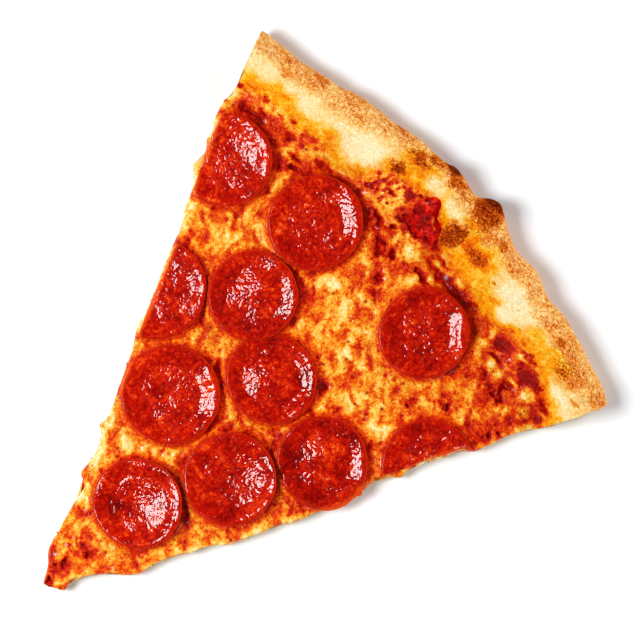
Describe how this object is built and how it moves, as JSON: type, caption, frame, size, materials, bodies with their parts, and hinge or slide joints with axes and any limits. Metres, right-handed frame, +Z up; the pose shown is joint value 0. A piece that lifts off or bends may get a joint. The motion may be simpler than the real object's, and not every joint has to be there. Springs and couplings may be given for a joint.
{
  "type": "pepperoni pizza slice",
  "caption": "Flat triangular slice of pepperoni pizza with a puffed rim, tomato sauce, melted cheese and cupped rounds of cured sausage, to stand on a plate, board or counter.",
  "frame": {"origin": "on the table under the middle of the slice's bounding box", "axes": "+Y from the tip to the rim along the slice's middle line, +X across it, +Z up, toppings upwards"},
  "size_m": [0.1924, 0.2224, 0.0176],
  "materials": {
    "crust": "baked crust, tan to brown, matt with a faint sheen",
    "tomato_sauce": "wet, deep red, glossy",
    "cheese": "melted, pale yellow to orange, oily satin",
    "pepperoni": "oily, wrinkled, red with darker edges"
  },
  "bodies": {
    "root": {"dough": "crust", "tomato_sauce": "tomato_sauce", "cheese": "cheese", "pepperoni_01": "pepperoni", "pepperoni_02": "pepperoni", "pepperoni_03": "pepperoni", "pepperoni_04": "pepperoni", "pepperoni_05": "pepperoni", "pepperoni_06": "pepperoni", "pepperoni_07": "pepperoni", "pepperoni_08": "pepperoni", "pepperoni_09": "pepperoni", "pepperoni_10": "pepperoni", "pepperoni_11": "pepperoni"}
  },
  "joints": []
}
